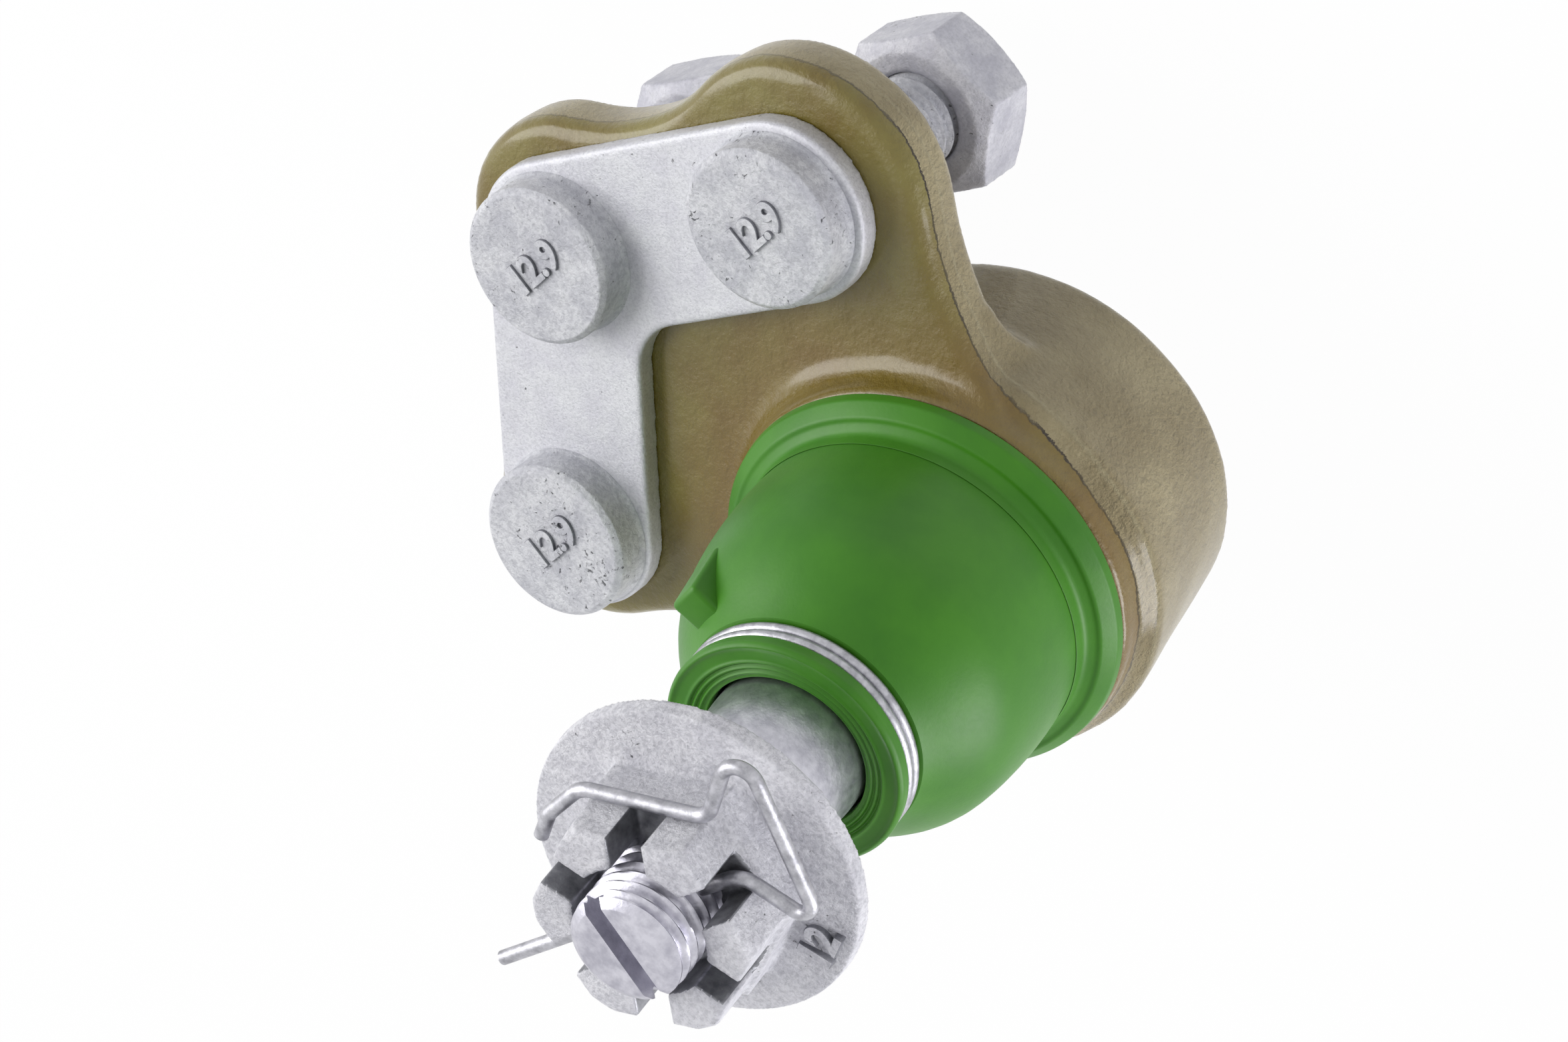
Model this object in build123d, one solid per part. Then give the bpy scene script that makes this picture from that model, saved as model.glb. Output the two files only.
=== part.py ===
"""Suspension ball joint: a forged housing with a three-bolt flange, a ball stud in a plastic
seat, a rubber boot, and a castellated flange nut with its spring lock pin.

Frame: millimetres, origin at the centre of the ball, +Z along the stud towards the nut,
+X from the ball towards the bolted side of the flange, which slopes down that way.
The flange has its own frame: its origin is where the stud axis meets the outer face of the
retainer plate, its z is the flange's normal and its y is the part's Y.
"""

import os
from math import cos, radians, sin, sqrt, tan

from build123d import *

# Flange frame
flange_tilt = 8.6  # degrees between the flange's normal and the stud
plate_height = 6.5  # where the stud axis meets the retainer plate's outer face

# Bolt places in the flange frame
bolt_corner = (49.4, 9.1)
bolt_near = (36.7, -17.8)
bolt_far = (27.8, 32.7)

# Ball and stud
ball_r = 14.0
ball_flat = ball_r - 0.8  # depth of the turned flat under the ball
neck_r = 6.0
neck_length = 2.35  # straight part of the neck above the ball
shoulder_r = 8.35
shoulder_start = 26.0
shoulder_end = 36.8
taper_ratio = 8.0  # length for each unit of diameter
taper_end = 51.6
thread_r = 6.0
stud_chamfer = 1.1
undercut_r = 5.2
undercut_length = 1.6
driver_slot_width = 2.1
driver_slot_depth = 2.4
driver_slot_angle = 165.0
pin_hole_r = 1.1

# Bearing seat
running_gap = 0.04  # ball to seat, and nut to thread
seat_wall = 2.5
seat_shoulder = 3.5  # height where the seat's outside starts to close in
seat_top = 8.3
seat_top_in = 3.3  # how far its top stands inside its outside
seat_base = ball_r + 1.6  # depth of the seat's underside
seat_hole_r = 6.0
seat_slits = 6
seat_slit_width = 1.2
seat_slit_floor = -2.0
fit_gap = 0.05  # between pieces that are pressed or dropped together

# Preload spring and end cap
spring_height = 1.75
spring_thickness = 1.1
spring_inner_r = 9.0
cap_thickness = 2.2
cap_overhang = 1.6  # how far the cap's edge stands outside the seat's bore
cap_dome_r = 11.0
cap_dome_depth = 0.9
rim_height = 0.9  # rolled rim behind the cap
rim_grip = 1.3  # how far the rolled rim covers the cap

# Housing
cup_thickness = 5.85  # round the seat
cup_chamfer = 1.3
collar_proud = 1.4  # of the forging's parting line, from which the cup is drafted
collar_z = 0.3
collar_top_in = 1.7  # how far the collar's top stands inside the parting line
collar_top_z = 2.0
boot_seat_z = 5.0
collar_round = 0.5
blend_front = 2.2  # hollow blend between the flange's outer face and the collar
blend_rear = 5.0  # between its rear face and the cup
boot_neck_wall = 3.15
boot_neck_top = boot_seat_z + 5.2
mouth_lip = 0.9  # how far the mouth covers the seat's top
mouth_flare = 1.6
flange_thickness = 7.0
flange_ring_in = 0.9  # how far the flange's ring stands inside the collar's top
lobe_corner_r = 13.4
lobe_near_r = 15.2
lobe_far_r = 12.3
waist_top = 22.0  # radius of the hollow between the corner and near lobes
waist_side = 30.0  # between the corner and far lobes
waist_near = 37.0  # between the near lobe and the ring
waist_far = 27.0  # between the far lobe and the ring
hole_overrun = 4.0  # the bolt holes run on this far past the rear blend
flange_draft = 4.0  # degrees, both ways from the parting line
flange_front_round = 1.8
flange_rear_round = 1.0

# Retainer plate and its bolts
plate_thickness = 2.5
plate_half_width = 9.8  # of the arm to the near bolt
plate_far_half_width = 9.3
plate_inner_fillet = 6.5
plate_edge_round = 0.5
bolt_r = 5.0
bolt_hole_gap = 0.25
head_r = 8.6
head_height = 4.2
head_chamfer = 0.7
head_foot = 0.3  # small flare where the head meets the plate
nut_stand_off = 24.2  # plate's outer face to the nut's near face
nut_flats = 17.0
nut_face_in = 1.2  # how far its bearing face stands inside its flats
nut_height = 8.4
nut_turn = 2.7
nut_countersink = 0.35
bolt_end_length = 2.1
bolt_end_chamfer = 0.9

# Castellated flange nut
castle_base = taper_end + 0.4
castle_flange_r = 17.4
castle_flange_edge = 1.9
castle_flange_rise = 0.6
castle_flats = 22.0
castle_ledge = castle_base + 6.6
crown_flats = 21.0
crown_top = castle_base + 13.2
crown_bore_r = 7.1
crown_chamfer_drop = 1.6
crown_chamfer_in = 0.8
castle_slot_width = 3.75
castle_slot_floor = castle_ledge + 0.5
castle_turn = -14.5  # angle of one hexagon corner
stud_end = crown_top + 3.1

# Lock pin
wire_r = 0.75
pin_z = castle_slot_floor + 1.1
pin_tail_r = 22.7
pin_exit_r = 10.5
pin_bend = (-11.3, -12.7)
pin_loop = (7.7, -23.1)
pin_heel = (3.45, -12.6)
pin_side = (13.3, -3.25)
pin_hook = (13.4, 2.3)
pin_tip = (12.3, 5.3)
pin_radii = (3.0, 1.3, 1.9, 1.9, 3.0, 2.0)

# Boot, its steel insert and its wire ring
insert_wall = 0.75
insert_flange_thickness = 0.65
insert_top = boot_seat_z + 4.9
boot_gap = 0.3  # rubber to metal on another body
boot_lip_in = 0.3  # how far the lip stands inside the steel insert
boot_lip_top = boot_seat_z + 2.4
boot_step_top = boot_seat_z + 3.8
boot_belly_z = 14.0
boot_shoulder_z = 23.2
boot_waist_z = 31.2
boot_wall = 2.2
ring_wire_r = 0.6
cuff_wall = 2.9  # under the ring's groove
groove_depth = 1.35
ring_z = 32.9
boot_cuff_round = 0.5
boot_top = 36.1
tab_angle = 2.2
tab_width = 4.2
tab_low = 22.0
tab_high = 29.8
tab_tip_in = 1.05  # how far the tab's outer edge stands inside the belly
tab_wall = 0.7  # round the hollow in its side
tab_pocket = 1.2

flange_frame = Plane(
    origin=(0, 0, plate_height),
    x_dir=(cos(radians(flange_tilt)), 0, -sin(radians(flange_tilt))),
    z_dir=(sin(radians(flange_tilt)), 0, cos(radians(flange_tilt))),
).location
bolts = (bolt_corner, bolt_near, bolt_far)
seat_r = ball_r + seat_wall
bore_r = seat_r + fit_gap
cap_top = -seat_base - spring_height - 2 * fit_gap
cap_bottom = cap_top - cap_thickness
cap_r = bore_r + cap_overhang
seat_top_r = seat_r - seat_top_in
mouth_r = seat_top_r - mouth_lip
boot_neck_r = seat_top_r + fit_gap + boot_neck_wall
cup_r = bore_r + cup_thickness
collar_r = cup_r + collar_proud
collar_top_r = collar_r - collar_top_in
flange_ring_r = collar_top_r - flange_ring_in
insert_flange_r = collar_top_r - 0.5
boot_lip_r = insert_flange_r - boot_lip_in
boot_lip_edge_r = boot_lip_r - 0.9
boot_step_r = boot_lip_r - 2.6
boot_belly_r = boot_lip_r - 2.25
boot_shoulder_r = boot_belly_r - 1.0
boot_mouth_r = shoulder_r + boot_gap
ring_groove_r = boot_mouth_r + cuff_wall
boot_waist_r = boot_cuff_r = ring_groove_r + groove_depth
cup_bottom = cap_bottom - fit_gap - rim_height
cup_edge = cup_bottom + cup_chamfer
flange_front = -plate_thickness
flange_rear = flange_front - flange_thickness
bolt_end = -(nut_stand_off + nut_height + bolt_end_length)


def turned(points):
    """Turn a closed outline of (radius, height) points about the stud axis."""
    return revolve(Plane.XZ * make_face(Polyline(*points, close=True)), Axis.Z)


def turned_edges(edges):
    """Turn a closed chain of edges, drawn as radius and height, about the stud axis."""
    return revolve(Plane.XZ * make_face(edges), Axis.Z)


def between(low, high, radius, inner=0.0):
    """A round bar, or a ring, from one height to another."""
    bar = Pos(0, 0, low) * Cylinder(radius, high - low, align=(Align.CENTER, Align.CENTER, Align.MIN))
    if inner > 0:
        bar -= Pos(0, 0, low) * Cylinder(
            inner, high - low, align=(Align.CENTER, Align.CENTER, Align.MIN)
        )
    return bar


def hexagon(flats, low, high, turn):
    """A hexagonal bar with one corner at the angle turn."""
    outline = RegularPolygon(flats / 2, 6, major_radius=False, rotation=turn)
    return extrude(Pos(0, 0, low) * outline, high - low)


def waist(first, first_r, second, second_r, hollow_r):
    """The web between two round lobes, hollowed by an arc on the left of first to second."""
    a, b = Vector(*first), Vector(*second)
    along = (b - a).normalized()
    left = Vector(-along.Y, along.X)
    span = (b - a).length
    reach_a, reach_b = first_r + hollow_r, second_r + hollow_r
    x = (reach_a**2 - reach_b**2 + span**2) / (2 * span)
    y = sqrt(reach_a**2 - x**2)
    centre = a + along * x + left * y
    web = make_face(Polyline(a, b, centre, close=True))
    return web - Pos(centre.X, centre.Y) * Circle(hollow_r)


def flange_web():
    """Outline of the three bolt lobes and the webs that join them to the cup."""
    hub = (0.0, 0.0)
    lobes = (
        (bolt_corner, lobe_corner_r),
        (bolt_near, lobe_near_r),
        (bolt_far, lobe_far_r),
    )
    web = make_face(Polyline(hub, bolt_near, bolt_corner, bolt_far, close=True))
    for place, radius in lobes:
        web += Pos(*place) * Circle(radius)
    web += waist(bolt_near, lobe_near_r, hub, flange_ring_r, waist_near)
    web += waist(bolt_corner, lobe_corner_r, bolt_near, lobe_near_r, waist_top)
    web += waist(bolt_far, lobe_far_r, bolt_corner, lobe_corner_r, waist_side)
    web += waist(hub, flange_ring_r, bolt_far, lobe_far_r, waist_far)
    return web


def flange_slab():
    """The flange as forged, drafted both ways from its parting line, with rounded edges."""
    middle = (flange_front + flange_rear) / 2
    slab = extrude(
        Pos(0, 0, middle) * (flange_web() + Circle(flange_ring_r)),
        flange_thickness / 2,
        both=True,
        taper=flange_draft,
    )
    slab = fillet(slab.faces().sort_by(Axis.Z)[-1].edges(), flange_front_round)
    return fillet(slab.faces().sort_by(Axis.Z)[0].edges(), flange_rear_round)


def hollow_blend(face_z, side, radius, size):
    """Hollow round blend from a face of the flange to an upright round wall about the stud."""
    sections = []
    for step in range(5):
        angle = radians(22.5 * step)
        z = face_z + side * size * (1 - cos(angle))
        reach = radius + size * (1 - sin(angle))
        sections.append(Pos(-z * tan(radians(flange_tilt)), 0, z) * Circle(reach))
    inside = face_z - side * flange_thickness / 4
    foot = Pos(-inside * tan(radians(flange_tilt)), 0, inside) * Circle(radius + size)
    blend = loft([foot, sections[0]], ruled=True) + loft(sections, ruled=True)
    return blend & extrude(Pos(0, 0, face_z) * flange_web(), 2 * size, both=True)


def housing_body():
    """Outside of the forging: cup, collar round the boot seat and neck for the boot."""
    seat_edge = collar_top_r - collar_round
    round_z = boot_seat_z - collar_round
    outline = (
        Line((0, cup_bottom), (cup_r - cup_chamfer, cup_bottom))
        + Line((cup_r - cup_chamfer, cup_bottom), (cup_r, cup_edge))
        + Line((cup_r, cup_edge), (collar_r, collar_z))
        + Line((collar_r, collar_z), (collar_top_r, collar_top_z))
        + Line((collar_top_r, collar_top_z), (collar_top_r, round_z))
        + TangentArc((collar_top_r, round_z), (seat_edge, boot_seat_z), tangent=(0, 1))
        + Line((seat_edge, boot_seat_z), (boot_neck_r, boot_seat_z))
        + Line((boot_neck_r, boot_seat_z), (boot_neck_r, boot_neck_top))
        + Line((boot_neck_r, boot_neck_top), (0, boot_neck_top))
        + Line((0, boot_neck_top), (0, cup_bottom))
    )
    return turned_edges(outline)


def cup_wall(z):
    """Radius of the drafted cup at a height below the collar."""
    return cup_r + (collar_r - cup_r) * (z - cup_edge) / (collar_z - cup_edge)


def housing():
    blend_foot = plate_height + flange_rear - collar_r * tan(radians(flange_tilt)) - blend_rear
    flange = flange_slab() + hollow_blend(flange_rear, -1, cup_wall(blend_foot) - 0.1, blend_rear)
    flange += hollow_blend(flange_front, 1, collar_top_r - 0.1, blend_front)
    above_seat = between(boot_seat_z, boot_seat_z + 3 * plate_height, 2 * collar_r)
    body = housing_body() + (flange_frame * flange - above_seat)
    seat_space = turned(
        (
            (0, cap_top),
            (bore_r, cap_top),
            (bore_r, seat_shoulder),
            (seat_top_r + fit_gap, seat_top),
            (0, seat_top),
        )
    )
    mouth = turned(
        (
            (0, seat_top - 0.5),
            (mouth_r, seat_top - 0.5),
            (mouth_r, seat_top),
            (mouth_r + mouth_flare, boot_neck_top + fit_gap),
            (0, boot_neck_top + fit_gap),
        )
    )
    cap_space = between(cap_bottom - fit_gap, cap_top + fit_gap, cap_r + fit_gap)
    rim_opening = between(cup_bottom - 1, cap_bottom, cap_r - rim_grip)
    body -= seat_space + mouth + cap_space + rim_opening
    hole_r = bolt_r + bolt_hole_gap
    for x, y in bolts:
        body -= flange_frame * Pos(x, y, 0) * between(flange_rear - blend_rear - hole_overrun, 1, hole_r)
    return body


def bearing_seat():
    seat = turned(
        (
            (seat_hole_r, -seat_base),
            (seat_r, -seat_base),
            (seat_r, seat_shoulder),
            (seat_top_r, seat_top),
            (seat_hole_r, seat_top),
        )
    )
    seat -= Sphere(ball_r + running_gap)
    slit_height = seat_top - seat_slit_floor + 1
    slit = Pos(seat_r, 0, seat_slit_floor) * Box(
        2 * seat_wall + ball_r / 2,
        seat_slit_width,
        slit_height,
        align=(Align.CENTER, Align.CENTER, Align.MIN),
    )
    for n in range(seat_slits):
        seat -= Rot(0, 0, 360 / seat_slits * (n + 0.5)) * slit
    return seat


def preload_spring():
    top = -seat_base - fit_gap
    low = top - spring_height
    outer = seat_r - 0.6
    return turned(
        (
            (spring_inner_r, top - spring_thickness),
            (spring_inner_r, top),
            (outer, low + spring_thickness),
            (outer, low),
        )
    )


def end_cap():
    return turned(
        (
            (0, cap_top - cap_dome_depth),
            (cap_dome_r - 1.5, cap_top - cap_dome_depth),
            (cap_dome_r - 0.5, cap_top),
            (cap_r, cap_top),
            (cap_r, cap_bottom),
            (cap_dome_r + 1.0, cap_bottom),
            (cap_dome_r, cap_bottom - cap_dome_depth),
            (0, cap_bottom - cap_dome_depth),
        )
    )


def ball_stud():
    neck_start = sqrt(ball_r**2 - neck_r**2)
    neck_top = neck_start + neck_length
    gauge_r = shoulder_r - (taper_end - shoulder_end) / taper_ratio / 2
    profile = (
        Line((0, neck_start - 2), (neck_r, neck_start - 2))
        + Line((neck_r, neck_start - 2), (neck_r, neck_top))
        + Spline(
            (neck_r, neck_top),
            (shoulder_r, shoulder_start),
            tangents=((0, 1), (0, 1)),
        )
        + Line((shoulder_r, shoulder_start), (shoulder_r, shoulder_end))
        + Line((shoulder_r, shoulder_end), (gauge_r, taper_end))
        + Line((gauge_r, taper_end), (undercut_r, taper_end))
        + Line((undercut_r, taper_end), (undercut_r, taper_end + undercut_length))
        + Line((undercut_r, taper_end + undercut_length), (thread_r, taper_end + undercut_length + 0.8))
        + Line((thread_r, taper_end + undercut_length + 0.8), (thread_r, stud_end - stud_chamfer))
        + Line((thread_r, stud_end - stud_chamfer), (thread_r - stud_chamfer, stud_end))
        + Line((thread_r - stud_chamfer, stud_end), (0, stud_end))
        + Line((0, stud_end), (0, neck_start - 2))
    )
    stud = turned_edges(profile) + Sphere(ball_r)
    stud -= between(-ball_r - 1, -ball_flat, ball_r)
    slot = Box(4 * thread_r, driver_slot_width, 2 * driver_slot_depth)
    stud -= Pos(0, 0, stud_end) * Rot(0, 0, driver_slot_angle) * slot
    hole = Rot(0, 0, pin_angle()) * Rot(0, 90, 0) * Cylinder(pin_hole_r, 4 * thread_r)
    return stud - Pos(0, 0, pin_z) * hole


def pin_angle():
    """Direction of the slots that the pin runs through: the middle of a flat."""
    return castle_turn + 90


def castle_nut():
    edge_z = castle_base + castle_flange_edge
    rise_z = edge_z + castle_flange_rise
    nut = turned(
        (
            (0, castle_base),
            (castle_flange_r, castle_base),
            (castle_flange_r - 0.15, edge_z),
            (castle_flats / 2 + 1.7, rise_z),
            (0, rise_z),
        )
    )
    nut += hexagon(castle_flats, castle_base + 1, castle_ledge, castle_turn)
    corner_r = crown_flats / 2 / cos(radians(30))
    crown = hexagon(crown_flats, castle_ledge - 1, crown_top, castle_turn)
    crown &= turned(
        (
            (0, castle_ledge - 1),
            (corner_r + 0.1, castle_ledge - 1),
            (corner_r + 0.1, crown_top - crown_chamfer_drop),
            (corner_r - crown_chamfer_in, crown_top),
            (0, crown_top),
        )
    )
    nut += crown
    nut -= between(castle_base - 1, crown_top + 1, thread_r + running_gap)
    nut -= between(castle_slot_floor + 0.5, crown_top + 1, crown_bore_r)
    slot = Pos(castle_flats / 2, 0, castle_slot_floor) * Box(
        castle_flats,
        castle_slot_width,
        crown_top,
        align=(Align.CENTER, Align.CENTER, Align.MIN),
    )
    for n in range(6):
        nut -= Rot(0, 0, castle_turn + 30 + 60 * n) * slot
    return nut


def lock_pin():
    """Formed spring wire: a straight leg through the stud, and a return leg round the crown."""
    angle = radians(pin_angle())
    tail = Vector(cos(angle), sin(angle)) * pin_tail_r
    leave = Vector(cos(angle), sin(angle)) * -pin_exit_r
    corners = (tail, leave, pin_bend, pin_loop, pin_heel, pin_side, pin_hook, pin_tip)
    route = FilletPolyline(*[(Vector(*c).X, Vector(*c).Y, pin_z) for c in corners], radius=list(pin_radii))
    section = Plane(origin=route @ 0, z_dir=route % 0) * Circle(wire_r)
    return sweep(section, path=route)


def dust_boot():
    """Rubber boot: lip on the steel insert, belly, waist with the ring's groove, and cuff."""
    inner_foot = boot_neck_r + insert_wall + 2 * fit_gap
    lip_base = boot_seat_z + insert_flange_thickness + 2 * fit_gap
    groove_half = 2 * ring_wire_r + 0.1
    groove_low, groove_high = ring_z - groove_half, ring_z + groove_half
    skin = Spline(
        (boot_step_r, boot_step_top),
        (boot_belly_r, boot_belly_z),
        (boot_shoulder_r, boot_shoulder_z),
        (boot_waist_r, boot_waist_z),
    )
    lining = Spline(
        (boot_waist_r - boot_wall, boot_waist_z - 0.5),
        (boot_shoulder_r - boot_wall, boot_shoulder_z - 0.8),
        (boot_belly_r - boot_wall, boot_belly_z),
        (inner_foot, insert_top),
    )
    profile = (
        Line((inner_foot, lip_base), (boot_lip_r, lip_base))
        + Line((boot_lip_r, lip_base), (boot_lip_edge_r, boot_lip_top))
        + Line((boot_lip_edge_r, boot_lip_top), (boot_step_r, boot_step_top))
        + skin
        + Line((boot_waist_r, boot_waist_z), (ring_groove_r, groove_low))
        + Line((ring_groove_r, groove_low), (ring_groove_r, groove_high))
        + Line((ring_groove_r, groove_high), (boot_cuff_r, groove_high))
        + Line((boot_cuff_r, groove_high), (boot_cuff_r, boot_top - boot_cuff_round))
        + Line((boot_cuff_r, boot_top - boot_cuff_round), (boot_cuff_r - boot_cuff_round, boot_top))
        + Line((boot_cuff_r - boot_cuff_round, boot_top), (boot_mouth_r, boot_top))
        + Line((boot_mouth_r, boot_top), (boot_mouth_r, groove_low - 0.5))
        + Line((boot_mouth_r, groove_low - 0.5), (boot_waist_r - boot_wall, boot_waist_z - 0.5))
        + lining
        + Line((inner_foot, insert_top), (inner_foot, lip_base))
    )
    return turned_edges(profile) + boot_tab()


def boot_tab():
    """Moulded pull tab on the boot's shoulder: a gusset with a three-sided hollow in its side."""
    tip = boot_belly_r - tab_tip_in
    outline = make_face(
        Polyline(
            (boot_waist_r + fit_gap, tab_high),
            (tip - tab_wall, tab_high),
            (tip, tab_low + 2 * tab_wall),
            (boot_belly_r - boot_wall, tab_low),
            close=True,
        )
    )
    tab = extrude(Plane.XZ * outline, tab_width / 2, both=True)
    hollow_high = tab_high - tab_wall
    hollow = make_face(
        Polyline(
            (tip - tab_wall, tab_low + 4 * tab_wall),
            (tip - 2 * tab_wall, hollow_high),
            (tip - 5 * tab_wall, hollow_high),
            close=True,
        )
    )
    tab -= extrude(Plane.XZ.offset(tab_width / 2) * hollow, -tab_pocket, taper=20)
    return Rot(0, 0, tab_angle) * tab


def boot_insert():
    """Pressed steel ring that the boot's lip is moulded to, an L in section."""
    low = boot_seat_z + fit_gap
    shelf = low + insert_flange_thickness
    inner = boot_neck_r + fit_gap
    return turned(
        (
            (inner, low),
            (insert_flange_r, low),
            (insert_flange_r, shelf),
            (inner + insert_wall, shelf),
            (inner + insert_wall, insert_top - 0.5),
            (inner, insert_top - 0.5),
        )
    )


def boot_ring():
    """Wire ring of two turns, side by side in the boot's groove."""
    centre_r = ring_groove_r + ring_wire_r + fit_gap
    step = ring_wire_r + 0.02
    return [Pos(0, 0, ring_z + side * step) * Torus(centre_r, ring_wire_r) for side in (-1, 1)]


def plate_arm(first, second, half_width):
    """A bar with round ends, from one bolt to another."""
    a, b = Vector(*first), Vector(*second)
    along = (b - a).normalized()
    side = Vector(-along.Y, along.X) * half_width
    bar = make_face(Polyline(a + side, b + side, b - side, a - side, close=True))
    return bar + Pos(*first) * Circle(half_width) + Pos(*second) * Circle(half_width)


def retainer_plate():
    outline = plate_arm(bolt_corner, bolt_near, plate_half_width)
    outline += plate_arm(bolt_corner, bolt_far, plate_far_half_width)
    outline = offset(outline, plate_inner_fillet)
    outline = offset(outline, -plate_inner_fillet)
    plate = extrude(Pos(0, 0, -plate_thickness) * outline, plate_thickness)
    plate = fillet(plate.faces().sort_by(Axis.Z)[-1].edges(), plate_edge_round)
    for x, y in bolts:
        plate -= Pos(x, y, 0) * between(-2 * plate_thickness, plate_thickness, bolt_r + bolt_hole_gap)
    return flange_frame * plate


def flange_bolt(place):
    """Bolt with a plain round head: it is held by its knurl, so it has no drive."""
    x, y = place
    bolt = turned(
        (
            (0, bolt_end),
            (bolt_r - bolt_end_chamfer, bolt_end),
            (bolt_r, bolt_end + bolt_end_chamfer),
            (bolt_r, 0),
            (head_r + head_foot, 0),
            (head_r, 2 * head_foot),
            (head_r, head_height - head_chamfer),
            (head_r - head_chamfer, head_height),
            (0, head_height),
        )
    )
    return flange_frame * Pos(x, y, 0) * bolt


def flange_nut(place):
    """Plain hexagon nut, chamfered on both sides and countersunk at both ends of its thread."""
    x, y = place
    corner_r = nut_flats / 2 / cos(radians(30))
    washer_r = nut_flats / 2 - nut_face_in
    drop = (corner_r - washer_r) * tan(radians(30))
    bore_r = bolt_r + running_gap
    high, low = -nut_stand_off, -nut_stand_off - nut_height
    nut = hexagon(nut_flats, low, high, nut_turn)
    nut &= turned(
        (
            (0, low),
            (washer_r, low),
            (corner_r, low + drop),
            (corner_r, high - drop),
            (washer_r, high),
            (0, high),
        )
    )
    nut -= turned(
        (
            (0, low - 1),
            (bore_r + nut_countersink, low - 1),
            (bore_r + nut_countersink, low),
            (bore_r, low + nut_countersink),
            (bore_r, high - nut_countersink),
            (bore_r + nut_countersink, high),
            (bore_r + nut_countersink, high + 1),
            (0, high + 1),
        )
    )
    return flange_frame * Pos(x, y, 0) * nut


pieces = {
    "housing": housing(),
    "bearing_seat": bearing_seat(),
    "preload_spring": preload_spring(),
    "end_cap": end_cap(),
    "ball_stud": ball_stud(),
    "castle_nut": castle_nut(),
    "lock_pin": lock_pin(),
    "dust_boot": dust_boot(),
    "boot_insert": boot_insert(),
    "boot_ring": Compound(children=boot_ring()),
    "retainer_plate": retainer_plate(),
}
for name, place in zip(("corner", "near", "far"), bolts):
    pieces[f"bolt_{name}"] = flange_bolt(place)
    pieces[f"nut_{name}"] = flange_nut(place)

os.makedirs("parts", exist_ok=True)
for name, piece in pieces.items():
    export_step(piece, f"parts/{name}.step")
    print(name, round(piece.volume, 1), "mm3")
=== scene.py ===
# %% [markdown]
# # Suspension ball joint
# A car's lower ball joint, seen from its nut end. The measured solids are loaded first and stay
# where they are. The looks are then built over them, from the forging outwards, each piece in
# metres in the same frame: +Z runs along the stud towards its nut.

# %% Load the measured frame
from math import atan2, cos, degrees, pi, radians, sin

import bpy
from mathutils import Matrix, Vector, noise


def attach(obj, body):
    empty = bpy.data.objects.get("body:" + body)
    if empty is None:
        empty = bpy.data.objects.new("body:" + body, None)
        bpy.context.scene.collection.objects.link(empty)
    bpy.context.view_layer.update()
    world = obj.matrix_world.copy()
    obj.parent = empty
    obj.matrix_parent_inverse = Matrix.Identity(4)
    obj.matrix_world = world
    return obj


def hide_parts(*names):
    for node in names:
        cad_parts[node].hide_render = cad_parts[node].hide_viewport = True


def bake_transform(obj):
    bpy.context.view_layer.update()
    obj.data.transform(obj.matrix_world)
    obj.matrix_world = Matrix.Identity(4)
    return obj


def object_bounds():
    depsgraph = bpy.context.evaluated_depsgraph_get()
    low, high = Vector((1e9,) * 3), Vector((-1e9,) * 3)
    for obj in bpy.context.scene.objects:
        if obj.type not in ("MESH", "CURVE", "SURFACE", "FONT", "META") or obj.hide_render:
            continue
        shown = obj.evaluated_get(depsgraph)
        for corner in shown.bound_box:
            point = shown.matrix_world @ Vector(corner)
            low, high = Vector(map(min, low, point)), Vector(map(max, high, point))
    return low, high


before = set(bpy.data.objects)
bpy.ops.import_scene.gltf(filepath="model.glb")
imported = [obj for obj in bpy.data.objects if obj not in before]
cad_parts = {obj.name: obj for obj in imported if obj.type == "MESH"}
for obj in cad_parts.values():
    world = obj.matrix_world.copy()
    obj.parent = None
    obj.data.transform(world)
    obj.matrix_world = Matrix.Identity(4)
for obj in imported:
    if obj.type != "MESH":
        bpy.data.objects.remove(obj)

cad_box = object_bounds()
print(
    "solids reach from",
    [round(v * 1000, 1) for v in cad_box[0]],
    "to",
    [round(v * 1000, 1) for v in cad_box[1]],
)

# %% [markdown]
# Lengths below are in millimetres, as on the drawing, and become metres when a mesh takes them.
# An operator works on whatever is selected, so each step first selects its own piece only.

# %% Helpers for selecting and finishing
MM = 0.001
SAME_POINT = 0.000002  # metres: corners closer than this are one


def pick(piece):
    """Leave only this piece selected and active."""
    if bpy.context.object and bpy.context.object.mode != "OBJECT":
        bpy.ops.object.mode_set(mode="OBJECT")
    bpy.ops.object.select_all(action="DESELECT")
    piece.select_set(True)
    bpy.context.view_layer.objects.active = piece


def apply_modifier(piece, kind, **settings):
    """Add one modifier and apply it."""
    pick(piece)
    modifier = piece.modifiers.new(kind.lower(), kind)
    for key, value in settings.items():
        setattr(modifier, key, value)
    bpy.ops.object.modifier_apply(modifier=modifier.name)


def smooth(piece, angle):
    """Shade smooth, with edges sharper than the angle kept crisp."""
    pick(piece)
    bpy.ops.object.shade_smooth_by_angle(angle=radians(angle))


def settle(piece):
    """Put a piece's place into its mesh, with its object at the origin."""
    pick(piece)
    bpy.ops.object.transform_apply(location=True, rotation=True, scale=True)


def done(piece, body, nodes=()):
    """Attach a finished piece to the body that carries it."""
    if nodes:
        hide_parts(*nodes)
    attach(piece, body)
    triangles = sum(len(p.vertices) - 2 for p in piece.data.polygons)
    print(piece.name, "on", body, "with", triangles, "triangles")


# %% [markdown]
# Colours are written as the sRGB hex values that a picture editor shows. Blender's shaders want
# linear numbers, so one function turns them. A pattern's scale comes from the size in millimetres
# of one grain on the real surface.

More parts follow.
